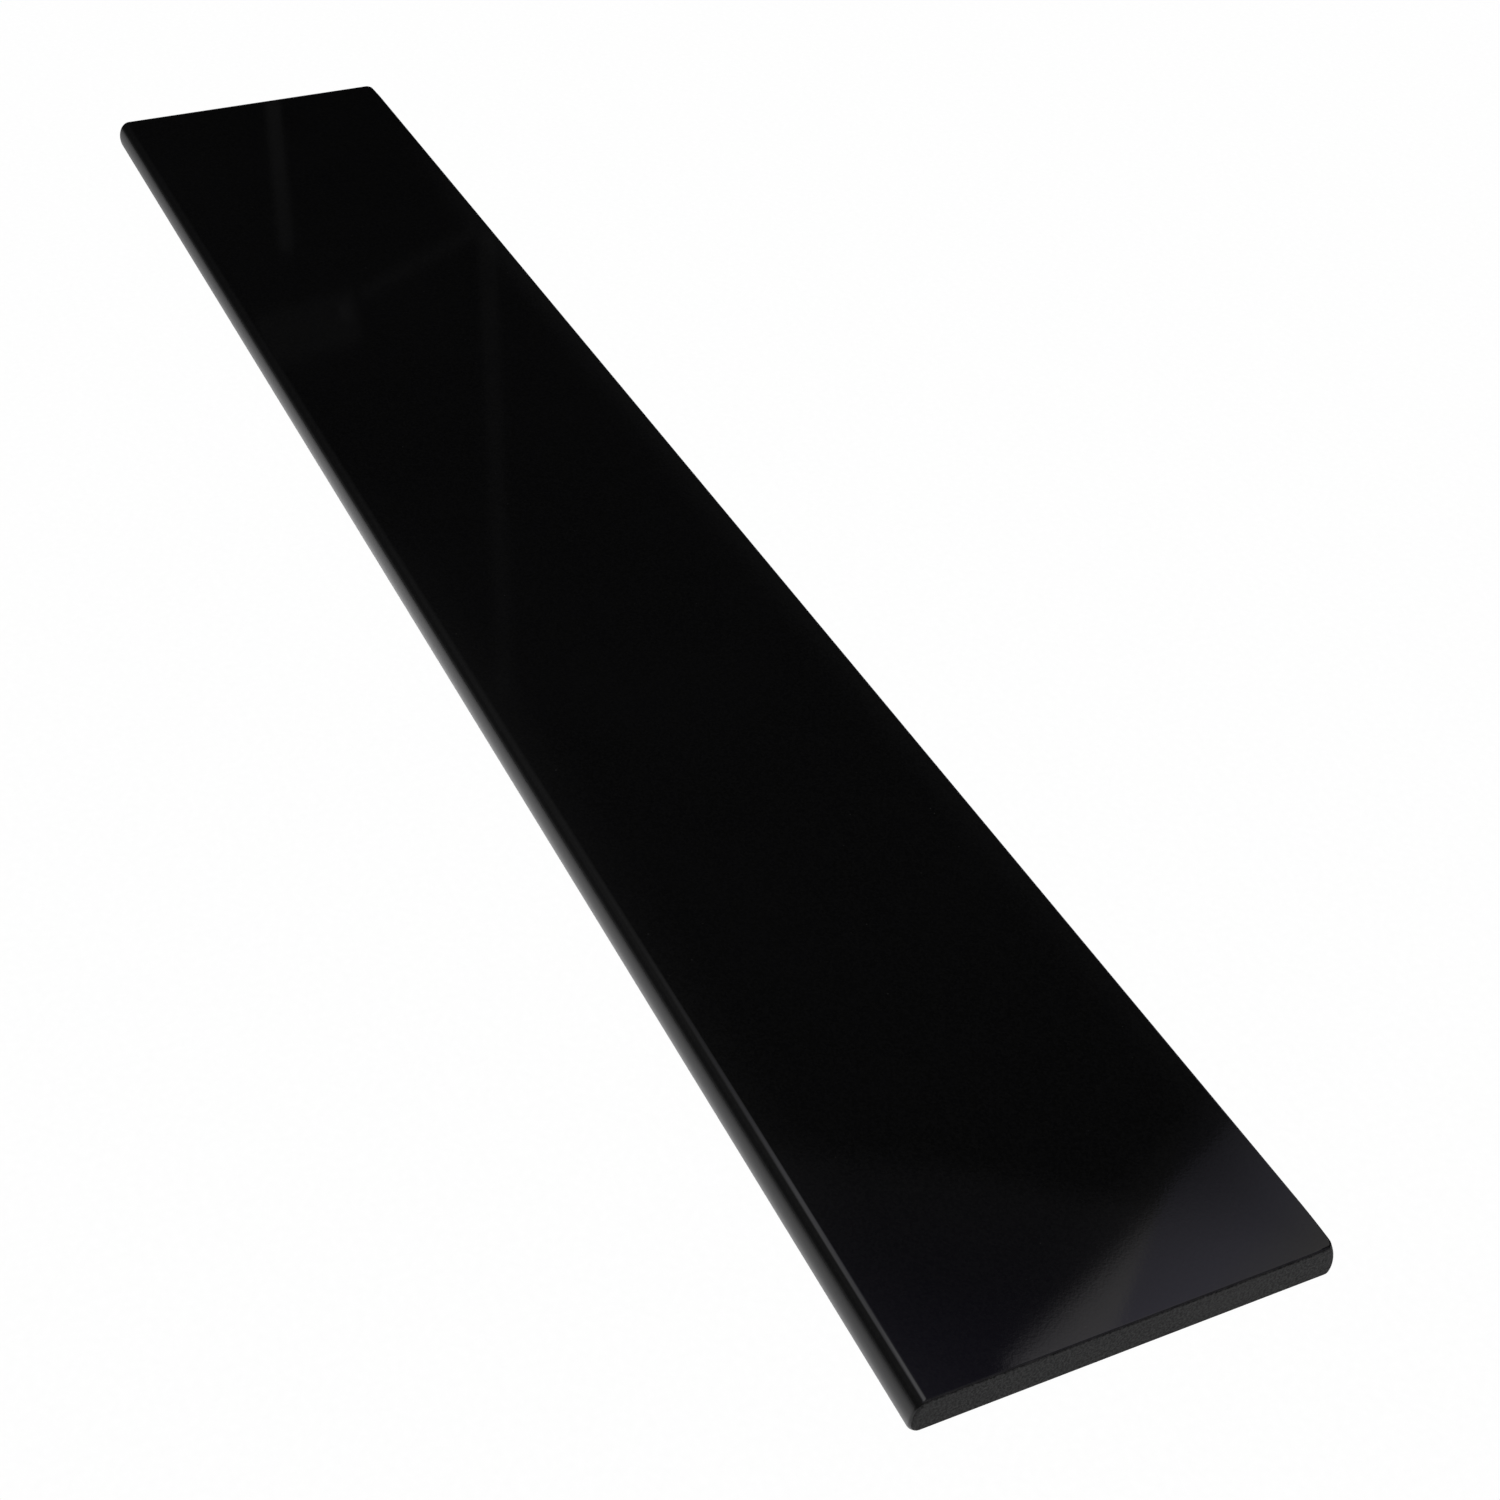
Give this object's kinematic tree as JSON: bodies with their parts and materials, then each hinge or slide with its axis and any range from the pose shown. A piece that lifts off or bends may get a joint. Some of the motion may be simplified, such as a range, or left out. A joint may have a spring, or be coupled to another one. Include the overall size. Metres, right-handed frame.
{
  "type": "kick plate",
  "caption": "Flat rectangular kick plate: one solid strip of mirror-polished black stone with a rounded long edge, a square long edge and honed ends, bonded by its back face.",
  "frame": {"origin": "centre of the flat back face, so the plate lies on z = 0 with its polished face up", "axes": "+X along the length, +Y across the width from the rounded long edge to the square long edge, +Z out of the polished face"},
  "size_m": [0.8, 0.125, 0.0106],
  "materials": {
    "polished_stone": "mirror polished face and rounded edge; honed ends, square edge and sawn back"
  },
  "bodies": {
    "root": {"stone_slab": "polished_stone"}
  },
  "joints": []
}
